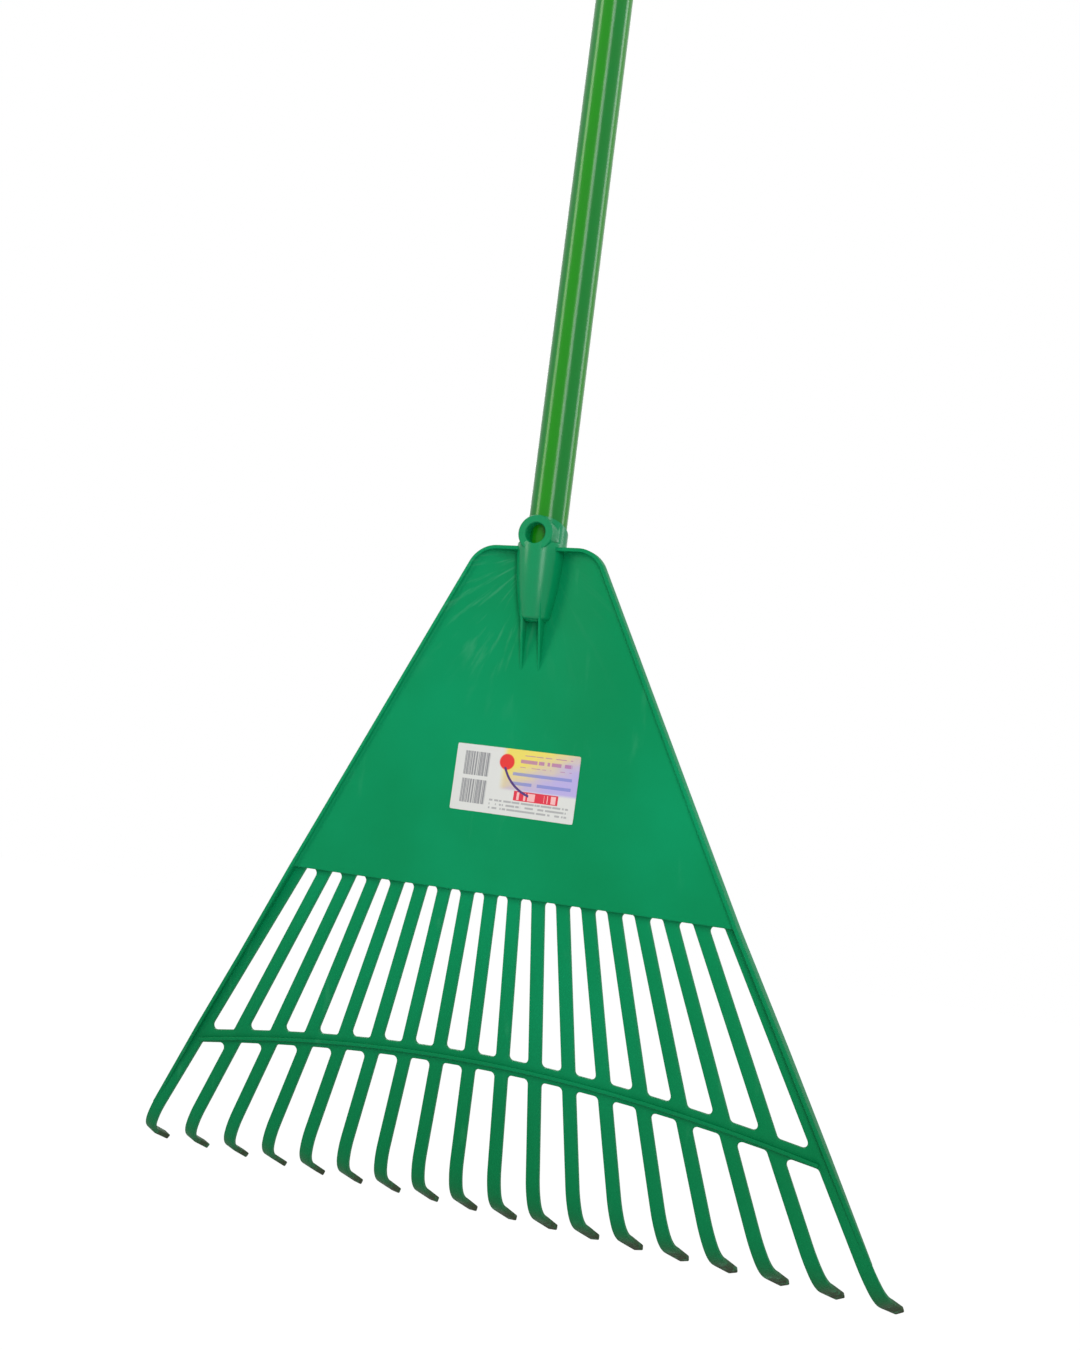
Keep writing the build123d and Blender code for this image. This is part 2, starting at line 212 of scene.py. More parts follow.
film, start = new_finish("green_pvc_film")
place, (x, y, z) = place_on(start)
turn = start.maths("ARCTAN2", x, y)
drift = start.maths("SINE", turn * 4 + 1.71) * 0.5 + 0.5
grain = start.add("TexNoise", {}, {"Vector": place, "Scale": 60, "Detail": 4})
long_place = start.add("Mapping", {}, {"Vector": place, "Scale": (1, 1, 0.06)})
streak = start.add("TexNoise", {}, {"Vector": long_place, "Scale": 420, "Detail": 2})
tone = drift.ease(0.42, 0.58).blend((0.001, 0.17, 0.02), (0.006, 0.21, 0.001))
tone = (grain.ease(0.3, 0.75) * 0.22).blend(tone, (0.012, 0.16, 0.012))
film_gloss = 0.15 + grain * 0.05 + streak * 0.04
dimples = start.add("TexNoise", {}, {"Vector": long_place, "Scale": 190, "Detail": 2})
film_bump = start.add(
    "Bump", {}, {"Height": dimples + streak * 0.3, "Strength": 0.07, "Distance": 0.0005}
)
start.finish_with(
    Base_Color=tone, Roughness=film_gloss, Normal=film_bump, Specular_IOR_Level=0.26, IOR=1.5
)
sleeve = turned("handle_film", film_profile, 180, lapped)
settle(sleeve, film, "handle", "handle_film", "handle_cover")

# ---------------------------------------------------------------- steel tube
# Thin welded steel tube under the film. Only its cut ends could ever be seen, so it keeps
# its shape and gets a drawn steel finish with fine lines along it.


def repaint(node, material):
    """A CAD piece whose shape is right keeps it and gets this finish."""
    for mesh_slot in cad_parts[node].material_slots:
        mesh_slot.material = material


steel, start = new_finish("drawn_steel")
place, (x, y, z) = place_on(start)
long_place = start.add("Mapping", {}, {"Vector": place, "Scale": (1, 1, 0.02)})
lines = start.add("TexNoise", {}, {"Vector": long_place, "Scale": 900, "Detail": 3})
start.finish_with(
    Base_Color=lines.blend((0.42, 0.43, 0.44), (0.62, 0.63, 0.64)),
    Metallic=1,
    Roughness=0.28 + lines * 0.2,
)
repaint("handle_tube", steel)

# ---------------------------------------------------------------- plastic of the cap and the head
# Polypropylene, moulded in one deep green, satin from the mould's fine texture. Rubbed places
# are paler. Pale streaks run out from the socket, mostly on its left: painted reflection with
# faint flow marks. Painted shade darkens the green downwards, and the hooks' ends most,
# mottled there like soil.
head_lean = math.radians(3.7)
plug_tip_height = 158.2
plate_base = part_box("handle_plug")[0].z * 1000 - plug_tip_height
tine_setback = 2.8
flow_and_reflection_centre = 192


def head(x, height, back):
    """A point of the head in mm: to the right, up its leaning plane, and to the back."""
    y = tine_setback + back * math.cos(head_lean) - height * math.sin(head_lean)
    z = plate_base + back * math.sin(head_lean) + height * math.cos(head_lean)
    return Vector((x, y, z)) / 1000


def moulded_green(name, shine=0.08, satin=0.42, stained_and_shaded=False):
    """The moulded plastic; when asked, also rubs and flow marks, with painted reflection and
    painted shade.
    """
    material, start = new_finish(name)
    place, (x, y, z) = place_on(start)
    clouds = start.add("TexNoise", {}, {"Vector": place, "Scale": 9, "Detail": 3})
    pebble = start.add("TexNoise", {}, {"Vector": place, "Scale": 1500, "Detail": 2})
    colour = clouds.ease(0.35, 0.7).blend((0.0005, 0.215, 0.076), (0.001, 0.255, 0.1))
    rough = satin + clouds * 0.12
    if stained_and_shaded:
        level = z * 1000 - plate_base
        # The green darkens from the plate's lower part down to the hooks: painted shade, as if the
        # light fell off lower down.
        colour = (0.62 - level.ease(-175, 40) * 0.62).blend(colour, (0.0005, 0.105, 0.026))
        # The hooks' ends darken to a mottled brown, most where they turn back and face down:
        # painted shade, mottled like soil; the same mask roughens them.
        low = 1 - level.ease(-178, -152)
        back = (y * 1000).ease(12, 30)
        hook_mottle = start.add("TexNoise", {}, {"Vector": place, "Scale": 260, "Detail": 4})
        shade_and_soil = low * (0.3 + back * 0.65) * hook_mottle.ease(0.2, 0.5)
        colour = shade_and_soil.blend(colour, (0.026, 0.026, 0.011))
        rub_place = start.add("Mapping", {}, {"Vector": place, "Scale": (1, 1, 0.25)})
        rubs = start.add("TexNoise", {}, {"Vector": rub_place, "Scale": 95, "Detail": 5})
        pale = rubs.ease(0.62, 0.78) * 0.16
        colour = pale.blend(colour, (0.06, 0.36, 0.18))
        # Pale streaks radiate from the socket, strongest on its left: painted reflection, streaked
        # like flow marks, which show faintly round the rest of it.
        across, rise = x * 1000, level - flow_and_reflection_centre
        spread = start.maths("ARCTAN2", across, rise)
        reach = start.maths("SQRT", across * across + rise * rise)
        ray = start.add("CombineXYZ", {}, {0: spread * 14, 1: reach * 0.035, 2: 0})
        flow_and_reflection = start.add("TexNoise", {}, {"Vector": ray, "Scale": 1, "Detail": 4})
        near = (1 - reach.ease(45, 110)) * (0.15 + 0.85 * (1 - across.ease(-14, 8)))
        near = near * reach.ease(12, 24) * (level > 95)
        colour = (flow_and_reflection.ease(0.5, 0.7) * near * 0.15).blend(colour, (0.14, 0.44, 0.28))
        rough = rough + shade_and_soil * 0.25
    bump = start.add("Bump", {}, {"Height": pebble, "Strength": 0.1, "Distance": 0.0002})
    start.finish_with(
        Base_Color=colour, Roughness=rough, Normal=bump, Specular_IOR_Level=shine, IOR=1.49
    )
    return material


cap_green = moulded_green("cap_green")
repaint("hang_cap", cap_green)
head_green = moulded_green("head_green", stained_and_shaded=True)
socket_green = moulded_green("socket_green", shine=0.24, satin=0.2)

# ---------------------------------------------------------------- plug in the handle's end
# A turned-looking moulded plug with a tapered nose that leads the handle into the socket.
# It is black plastic, seen only when the head is pulled off.
black, start = new_finish("plug_black")
place, (x, y, z) = place_on(start)
scuff = start.add("TexNoise", {}, {"Vector": place, "Scale": 140, "Detail": 4})
fine = start.add("TexNoise", {}, {"Vector": place, "Scale": 1600, "Detail": 2})
start.finish_with(
    Base_Color=scuff.ease(0.5, 0.75).blend((0.016, 0.017, 0.017), (0.05, 0.052, 0.05)),
    Roughness=0.42 + scuff * 0.16,
    Normal=start.add("Bump", {}, {"Height": fine, "Strength": 0.15, "Distance": 0.0002}),
    Specular_IOR_Level=0.4,
)
repaint("handle_plug", black)

# ---------------------------------------------------------------- socket with its eye
# The handle is pushed into this blind socket. Its collar is cut on a slope, and an eye
# stands on the front, through which the handle shows.


def keep_largest(mesh):
    """Welds a cut mesh and drops any crumbs that the cut left beside its main body."""
    work = bmesh.new()
    work.from_mesh(mesh)
    bmesh.ops.remove_doubles(work, verts=work.verts, dist=4e-6)
    bmesh.ops.dissolve_degenerate(work, edges=work.edges, dist=4e-6)
    left, bodies = set(work.faces), []
    while left:
        body, waiting = set(), [left.pop()]
        while waiting:
            face = waiting.pop()
            body.add(face)
            near = {other for edge in face.edges for other in edge.link_faces} & left
            left -= near
            waiting += near
        bodies.append(body)
    bodies.sort(key=len)
    crumbs = [face for body in bodies[:-1] for face in body]
    bmesh.ops.delete(work, geom=crumbs, context="FACES")
    work.to_mesh(mesh)
    work.free()


def carve(piece, tool, operation, crease=38):
    """Joins two closed meshes, or cuts one with the other, and removes the tool."""
    cut = piece.modifiers.new("cut", "BOOLEAN")
    cut.operation = operation
    cut.solver = "MANIFOLD"
    cut.object = tool
    graph = bpy.context.evaluated_depsgraph_get()
    result = bpy.data.meshes.new_from_object(piece.evaluated_get(graph))
    piece.modifiers.clear()
    keep_largest(result)
    piece.data = result
    result.shade_smooth()
    result.set_sharp_from_angle(angle=math.radians(crease))
    bpy.data.objects.remove(tool)


def on_axis(radius, height):
    """A point of a profile turned about the handle: mm above the plate's lower line."""
    return (radius / 1000, (plate_base + height) / 1000)


def arc(centre, radius, begin, end, steps):
    """Points on an arc, in degrees."""
    turns = [math.radians(begin + (end - begin) * k / steps) for k in range(steps + 1)]
    return [(centre[0] + radius * math.cos(t), centre[1] + radius * math.sin(t)) for t in turns]


def arc_through(first, middle, last, steps):
    """Points on the circle through three points."""
    ax, ay = first[0] - last[0], first[1] - last[1]
    bx, by = middle[0] - last[0], middle[1] - last[1]
    a, b = ax * ax + ay * ay, bx * bx + by * by
    twice = 2 * (ax * by - ay * bx)
    centre = (last[0] + (by * a - ay * b) / twice, last[1] + (ax * b - bx * a) / twice)
    begin = math.degrees(math.atan2(first[1] - centre[1], first[0] - centre[0]))
    end = math.degrees(math.atan2(last[1] - centre[1], last[0] - centre[0]))
    end += 360 * round((begin - end) / 360)
    return arc(centre, math.dist(centre, last), begin, end, steps)


socket_steps, eye_steps = 144, 96
socket_radius, belly_radius, collar_radius = 12.6, 10.8, 12.1
socket_end, socket_floor, bore_radius = 151, 158, 11.05
end_round, near_axis = 2, 0.001
socket_outer = [(near_axis, socket_end), *arc((6, socket_end + end_round), end_round, -90, 0, 6)]
socket_outer += arc_through(
    (8, socket_end + end_round), (belly_radius, 165.5), (socket_radius, 181), 24
)[1:]
socket_outer += [(12.5, 184), (collar_radius, 198.6), (collar_radius, 216), (near_axis, 216)]
outer_profile = [on_axis(radius, height) for radius, height in socket_outer]
socket_piece = turned("socket_with_eye", outer_profile, socket_steps)

# The socket's front is rounder: it is turned about a line that leans with the head.
brow_back, brow_radius, brow_top = 6, 13.9, 195
brow = [(near_axis, 152), *arc((6.5, 154.7), 2.7, -90, 0, 6)]
brow += arc_through((9.2, 154.7), (10.95, 163), (brow_radius, 190), 24)[1:]
brow += [(brow_radius, 194), (13.6, 194.8), (12.9, brow_top), (near_axis, brow_top)]


def about_brow(radius, height, turn):
    return head(radius * math.cos(turn), height, brow_back + radius * math.sin(turn))


carve(socket_piece, turned("brow", brow, socket_steps, about_brow), "UNION")

eye_radius, eye_front, eye_height = 10.3, -16.6, 198.7
eye_rings = [(0, -5), (eye_radius, -5), (eye_radius, -15.7), (10.15, -16.2)]
eye_rings += [(9.8, eye_front), (0, eye_front)]
hole_radius, hole_end = 5.8, -24
hole_rings = [(0, -2), (hole_radius, -2), (hole_radius, -15.9), (5.95, -16.3)]
hole_rings += [(6.3, eye_front), (6.3, hole_end), (0, hole_end)]


def about_eye(radius, back, turn):
    """The eye's axis runs from front to back."""
    centre = (plate_base + eye_height) / 1000
    across = radius / 1000 * math.cos(turn)
    return (across, back / 1000, centre + radius / 1000 * math.sin(turn))


carve(socket_piece, turned("eye", eye_rings, eye_steps, about_eye), "UNION")
bore = [on_axis(near_axis, socket_floor), on_axis(7, socket_floor), on_axis(bore_radius, 171.8)]
bore += [on_axis(bore_radius, 206), on_axis(bore_radius, 240), on_axis(near_axis, 240)]
carve(socket_piece, turned("bore", bore, socket_steps), "DIFFERENCE")
carve(socket_piece, turned("eye_hole", hole_rings, eye_steps, about_eye), "DIFFERENCE")

collar_height, collar_slope = 204, math.tan(math.radians(24))
cutter_half, cutter_top = 30, 260
top_corners = []
for x in (-cutter_half, cutter_half):
    for y in (-cutter_half, cutter_half):
        for height in (collar_height - y * collar_slope, cutter_top):
            top_corners.append((x / 1000, y / 1000, (plate_base + height) / 1000))
top_faces = [(0, 1, 3, 2), (4, 6, 7, 5), (0, 4, 5, 1), (2, 3, 7, 6), (0, 2, 6, 4), (1, 5, 7, 3)]
carve(socket_piece, make_mesh("collar_cut", top_corners, top_faces), "DIFFERENCE")
rounding = socket_piece.modifiers.new("rounded_edges", "BEVEL")
rounding.width = 0.0004
rounding.segments = 3
rounding.limit_method = "ANGLE"
rounding.angle_limit = math.radians(42)
rounding.harden_normals = False
settle(socket_piece, socket_green, "head", "head_plastic", "socket")

# ---------------------------------------------------------------- plate
# A thin dished plate that widens downwards. Its face curves up into the wall round its edge,
# and at the bottom a thick lip steps back to the tines.
plate_height = 192.6
top_half_width = 35.2
corner_radius = 18.0
fan_height = 244.8
tine_count = 18
tine_width = 7.4
tine_half = 1.5
tine_pitch, pitch_growth = 14.0, 0.082


def tine_offset(tine):
    """Where a tine's middle line crosses the plate's lower line, as an x."""
    share = 2 * tine / (tine_count - 1) - 1
    return tine_pitch * share * (tine_count - 1) / 2 * (1 + pitch_growth * share**2)


def tine_angle(tine):
    return math.atan(tine_offset(tine) / fan_height)


def tine_edge(tine, side, height, inset=0.0):
    """Where a tine's edge crosses a height, as an x."""
    reach = tine_offset(tine) * (fan_height - height) / fan_height
    return reach + side * (tine_width / 2 - inset) / math.cos(tine_angle(tine))


base_half_width = tine_edge(tine_count - 1, 1, 0)
side_slope = (base_half_width - top_half_width) / plate_height
side_cos = math.cos(math.atan(side_slope))
side_sin = math.sin(math.atan(side_slope))
corner_height = plate_height - corner_radius
corner_turn = math.radians(90) + math.atan(side_slope)
corner_x = top_half_width - corner_radius / math.tan(corner_turn / 2)
dish_at_foot, dish_growth, dish_height = 0.4, 6.8, 140
face_lean, rim_place = 4.3, 4.6
wall_thickness, wall_fillet = 2.2, 1.3
plate_thickness = 2.6


def half_width(height):
    return base_half_width - side_slope * height


def edge_distance(x, height):
    """How far a point of the plate is from its outline."""
    right, rise = abs(x) - corner_x, height - corner_height
    if right >= 0 and side_cos * rise - side_sin * right >= 0:
        return corner_radius - math.hypot(right, rise)
    return min((half_width(height) - abs(x)) * side_cos, plate_height - height)


def row_limit(height, inset):
    """The x at which a row of the plate comes within inset of the outline."""
    rise = height - corner_height
    if rise > (corner_radius - inset) * side_sin:
        return corner_x + math.sqrt(max((corner_radius - inset) ** 2 - rise**2, 0))
    return half_width(height) - inset / side_cos


def face_back(x, height):
    """Place of the plate's face, counted to the back from the tines' middle plane."""
    rise = math.sin(min(height / dish_height, 1) * math.pi / 2)
    deep = dish_at_foot + dish_growth * rise
    share = min(abs(x) / half_width(height), 1)
    lean_back = face_lean * height / plate_height
    return lean_back - rim_place + deep * math.cos(share * math.pi / 2) ** 2


def fillet(distance, begin, radius):
    """Rise of a concave rounding that starts at a wall and ends a radius away."""
    near = min(max(distance - begin, 0), radius)
    return radius - math.sqrt(radius**2 - (radius - near) ** 2)


def front_at(x, height):
    """The plate's front, which curves up to the wall."""
    return face_back(x, height) - fillet(edge_distance(x, height), wall_thickness, wall_fillet)


def back_at(x, height):
    return face_back(x, height) + plate_thickness


def tines_middle(x, height):
    """The plane that places to the back are counted from."""
    return 0


# Rows of points run down the front, round the lip and up the back. A row has a height, the
# face that it follows and how far behind that face it lies.
near_edge = [1.1, 1.8, 2.2, 2.3, 2.5, 2.8, 3.15, 3.5, 4.2, 5.5, 8]
first_row, last_row, steps_down = 183, 2, 110
down_from_top = [plate_height - distance for distance in near_edge]
for k in range(1, steps_down + 1):
    down_from_top.append(first_row - (first_row - last_row) * k / steps_down)
lip_back = [(0, 0.9), (0.12, 1.2), (0.4, 1.35), (2.6, 1.35), (2.9, 1.2), (3, 1.0)]
lip_top = 3.2
rows = [(height, front_at, 0) for height in down_from_top + [1, 0.4]]
rows += [(0.12, front_at, 0.14), (0, front_at, 0.45)]
rows += [(height, tines_middle, behind) for height, behind in lip_back]
rows += [(3.05, back_at, 0)]
rows += [(height, back_at, 0) for height in reversed(down_from_top) if height > lip_top]
columns = 130
edge_inset = near_edge[0]
steps_in = [distance - edge_inset for distance in near_edge]
points, faces = [], []
for height, face_at, behind in rows:
    limit = row_limit(height, edge_inset)
    row = [-limit + step for step in steps_in[:-1]]
    row += [(2 * k / columns - 1) * (limit - steps_in[-1]) for k in range(columns + 1)]
    row += [limit - step for step in reversed(steps_in[:-1])]
    points += [head(x, height, face_at(x, height) + behind) for x in row]
wide = len(row)
for r in range(len(rows)):
    here, there = r * wide, (r + 1) % len(rows) * wide
    for c in range(wide - 1):
        faces.append((here + c, here + c + 1, there + c + 1, there + c))
faces.append([r * wide for r in range(len(rows))])
faces.append([r * wide + wide - 1 for r in range(len(rows))])
plate = make_mesh("plate", points, faces, crease=50)


def handle_room(name):
    """The solid that keeps the plate and its wall out of the socket's bore."""
    room = [(near_axis, 156), (7.6, 156), (11.6, 172.5), (11.6, 240), (near_axis, 240)]
    return turned(name, [on_axis(radius, height) for radius, height in room], socket_steps)


def drop_folds(mesh):
    """Splits a cut mesh into triangles and drops those that lie folded on one another."""
    work = bmesh.new()
    work.from_mesh(mesh)
    bmesh.ops.triangulate(work, faces=work.faces)
    bmesh.ops.dissolve_degenerate(work, edges=work.edges, dist=2e-6)
    same = {}
    for face in work.faces:
        same.setdefault(frozenset(face.verts), []).append(face)
    folded = [face for pair in same.values() if len(pair) > 1 for face in pair]
    bmesh.ops.delete(work, geom=folded, context="FACES")
    work.to_mesh(mesh)
    work.free()


carve(plate, handle_room("plate_room"), "DIFFERENCE", crease=50)
drop_folds(plate.data)
settle(plate, head_green, "head", "head_plastic", "head_panel")

# ---------------------------------------------------------------- wall round the plate
# A wall stands on the plate's edge, deeper than the plate is thick. It runs on down the two
# outer tines as their flanges, thinning out above the bend.
# Each stretch of a flange: height, front and back, the last two counted to the back.
flange_line = [(0, -6.6, 1.5), (-55, -4.4, 3.7), (-100, -3.9, 3.5), (-150, -1.45, 1.45)]


def along_flange(height, which):
    """Front (1) or back (2) of the flange at a height below the plate."""
    for upper, lower in zip(flange_line, flange_line[1:]):
        if height >= lower[0]:
            share = (upper[0] - height) / (upper[0] - lower[0])
            return upper[which] + (lower[which] - upper[which]) * share
    return flange_line[-1][which]


# The wall's path is a list of (x, height, and the two shares of its outward normal).
wall_path = []
outer_tine = tine_count - 1
flange_steps, side_steps, corner_steps = 30, 40, 24
tilt = tine_angle(outer_tine)
flange_end = flange_line[-1][0]
for k in range(flange_steps + 1):
    height = flange_end - flange_end / flange_steps * k
    x = tine_edge(outer_tine, 1, height)
    wall_path.append((x, height, math.cos(tilt), math.sin(tilt)))
straight_top = corner_height + corner_radius * side_sin
for k in range(1, side_steps + 1):
    height = straight_top * k / side_steps
    wall_path.append((half_width(height), height, side_cos, side_sin))
begin = math.atan(side_slope)
for k in range(1, corner_steps + 1):
    turn = begin + (math.pi / 2 - begin) * k / corner_steps
    nx, nh = math.cos(turn), math.sin(turn)
    wall_path.append((corner_x + corner_radius * nx, corner_height + corner_radius * nh, nx, nh))
for k in range(1, corner_steps):
    wall_path.append((corner_x * (1 - k / corner_steps), plate_height, 0, 1))
wall_front, wall_back, wall_back_rise = -6.6, 1.5, 2.2
wall_rounding = 0.55


def wall_section(front, back):
    """A rounded oblong: (inset from the outline, place to the back)."""
    r = wall_rounding
    corners = [((r, front + r), 180), ((wall_thickness - r, front + r), 270)]
    corners += [((wall_thickness - r, back - r), 0), ((r, back - r), 90)]
    section = []
    for centre, begin in corners:
        section += arc(centre, r, begin, begin + 90, 4)
    return section


def swept(name, rings):
    """A closed mesh through equal rings of points."""
    count = len(rings[0])
    points = [point for ring in rings for point in ring]
    faces = []
    for base in range(0, len(points) - count, count):
        for k in range(count):
            after = (k + 1) % count
            faces.append((base + k, base + after, base + count + after, base + count + k))
    faces.append(list(range(count)))
    faces.append(list(range(len(points) - count, len(points))))
    return make_mesh(name, points, faces)


for side, side_name in ((-1, "left"), (1, "right")):
    rings = []
    for x, height, nx, nh in wall_path:
        if height < 0:
            front, back = along_flange(height, 1), along_flange(height, 2)
        else:
            front = face_lean * height / plate_height + wall_front
            back = wall_back + wall_back_rise * height / plate_height
            inner_x, inner_h = x - wall_thickness * nx, height - wall_thickness * nh
            back = max(back, back_at(inner_x, inner_h))
        rings.append(
            [
                head(side * (x - inset * nx), height - inset * nh, place_back)
                for inset, place_back in wall_section(front, back)
            ]
        )
    wall = swept("edge_wall_" + side_name, rings)
    carve(wall, handle_room("wall_room"), "DIFFERENCE")
    drop_folds(wall.data)
    settle(wall, head_green, "head", "head_plastic", "edge_flange_" + side_name)

# ---------------------------------------------------------------- tines and cross bar
# Eighteen flat tines fan out from the lip. They go on up behind the plate as roots, are tied
# by an arched bar with rounded corners, and hook to the back at their ends.
round_steps = [(0.7, 1.5), (0.35, 1.406), (0.094, 1.15), (0.0, 0.8)]
round_edge = [(d, -y) for d, y in round_steps] + [(d, y) for d, y in reversed(round_steps)]
slot_radius = 2.6
bar_width = 8.0
bar_middle, bar_sag, bar_half_length = -90.4, 18.1, 184
bar_crossing = -90
root_height = 23.5
notch_radius = 0.9
sheet_top = 2.2
cut_height = -125.0
flange_overlap = 0.15


def bar_line(x):
    """Height of the arched bar's middle line."""
    return bar_middle - bar_sag * (x / bar_half_length) ** 2


def rounded_corner(before, corner, after, radius, steps=7):
    """Points round a corner, each with its direction away from the arc's centre."""
    one, two = (before - corner).normalized(), (after - corner).normalized()
    half = one.angle(two) / 2
    centre = corner + (one + two).normalized() * (radius / math.sin(half))
    first = corner + one * (radius / math.tan(half)) - centre
    last = corner + two * (radius / math.tan(half)) - centre
    swing = first.angle(last)
    chain = []
    for k in range(steps + 1):
        a = math.sin(swing * (1 - k / steps)) / math.sin(swing)
        b = math.sin(swing * k / steps) / math.sin(swing)
        spoke = first * a + last * b
        chain.append((centre + spoke, spoke.normalized()))
    return chain


def edge_at(tine, side, height, inset=0.0):
    return Vector((tine_edge(tine, side, height, inset), height))


def cut_reach(tine):
    """Distance from the fan's centre down a tine to the end of its flat part."""
    return (fan_height - cut_height) / math.cos(tine_angle(tine))


def cut_at(tine, side, inset=0.0):
    """A tine's edge at the end of the flat part, where its hook is joined on."""
    turn = tine_angle(tine)
    down = Vector((math.sin(turn), -math.cos(turn)))
    across = Vector((math.cos(turn), math.sin(turn)))
    wide = side * (tine_width / 2 - inset)
    return Vector((0, fan_height)) + down * cut_reach(tine) + across * wide


def edge_normal(tine, side):
    """Points from a tine's edge into the tine."""
    turn = tine_angle(tine)
    return Vector((math.cos(turn), math.sin(turn))) * -side


def outer_inset(tine, side):
    """The outer tines' outer edges lie just inside the flanges' walls."""
    return flange_overlap if (tine, side) in ((0, -1), (outer_tine, 1)) else 0.0


# The outline goes down the left tine, round the gaps below the bar, up the right tine and
# back round the gaps between the roots. Each point has the normal that leads into the sheet.
left, right = outer_inset(0, -1), outer_inset(outer_tine, 1)
normal = edge_normal(0, -1)
chains = [[(edge_at(0, -1, root_height, left), normal), (cut_at(0, -1, left), normal)]]
for tine in range(outer_tine):
    x_left, x_right = tine_edge(tine, 1, bar_crossing), tine_edge(tine + 1, -1, bar_crossing)
    roof_left = edge_at(tine, 1, bar_line(x_left) - bar_width / 2)
    roof_right = edge_at(tine + 1, -1, bar_line(x_right) - bar_width / 2)
    low_left, low_right = cut_at(tine, 1), cut_at(tine + 1, -1)
    chain = [(low_left, edge_normal(tine, 1))]
    chain += rounded_corner(low_left, roof_left, roof_right, slot_radius)
    chain += rounded_corner(roof_left, roof_right, low_right, slot_radius)
    chain.append((low_right, edge_normal(tine + 1, -1)))
    chains.append(chain)
normal = edge_normal(outer_tine, 1)
root = edge_at(outer_tine, 1, root_height, right)
chains.append([(cut_at(outer_tine, 1, right), normal), (root, normal)])
for tine in reversed(range(outer_tine)):
    high_right, low_right = edge_at(tine + 1, -1, root_height), edge_at(tine + 1, -1, sheet_top)
    high_left, low_left = edge_at(tine, 1, root_height), edge_at(tine, 1, sheet_top)
    chain = [(high_right, edge_normal(tine + 1, -1))]
    chain += rounded_corner(high_right, low_right, low_left, notch_radius, 4)
    chain += rounded_corner(low_right, low_left, high_left, notch_radius, 4)
    chain.append((high_left, edge_normal(tine, 1)))
    chains.append(chain)

slots = []
for tine in range(outer_tine):
    x_left, x_right = tine_edge(tine, 1, bar_crossing), tine_edge(tine + 1, -1, bar_crossing)
    ring = [
        edge_at(tine, 1, 0),
        edge_at(tine, 1, bar_line(x_left) + bar_width / 2),
        edge_at(tine + 1, -1, bar_line(x_right) + bar_width / 2),
        edge_at(tine + 1, -1, 0),
    ]
    chain = []
    for k in range(4):
        chain += rounded_corner(ring[k - 1], ring[k], ring[(k + 1) % 4], slot_radius)
    slots.append(chain)

points, faces = [], []


def put(spot, back):
    points.append(head(spot.x, spot.y, back))
    return len(points) - 1


def strip(chain, closed):
    """The rounded edge along a chain of points, from the front face to the back face."""
    rows = [[put(p + n * d, y) for d, y in round_edge] for p, n in chain]
    pairs = list(zip(rows, rows[1:])) + ([(rows[-1], rows[0])] if closed else [])
    for one, two in pairs:
        for k in range(len(round_edge) - 1):
            faces.append((one[k], two[k], two[k + 1], one[k + 1]))
    return rows


outer_rows = [strip(chain, False) for chain in chains]
for chain in slots:
    strip(chain, True)
for one, two in zip(outer_rows[tine_count:], outer_rows[tine_count + 1 :] + outer_rows[:1]):
    faces.append(one[-1] + two[0][::-1])

flat = round_steps[0][0]
outline = [p + n * flat for chain in chains for p, n in chain]
loops = [outline] + [[p + n * flat for p, n in chain] for chain in slots]
spots, borders = [], []
for loop in loops:
    first = len(spots)
    spots += loop
    borders += [(first + k, first + (k + 1) % len(loop)) for k in range(len(loop))]


def inside(spot, loop):
    """Whether a point lies inside a closed loop."""
    hit = False
    for one, two in zip(loop, loop[1:] + loop[:1]):
        if (one.y > spot.y) != (two.y > spot.y):
            if spot.x < one.x + (two.x - one.x) * (spot.y - one.y) / (two.y - one.y):
                hit = not hit
    return hit


flat_points, _, triangles, *_ = delaunay_2d_cdt(spots, borders, [], 0, 1e-6)
for triangle in triangles:
    centre = sum((flat_points[k] for k in triangle), Vector((0, 0))) / 3
    if inside(centre, outline) and not any(inside(centre, loop) for loop in loops[1:]):
        faces.append([put(flat_points[k], -tine_half) for k in triangle])
        faces.append([put(flat_points[k], tine_half) for k in triangle])

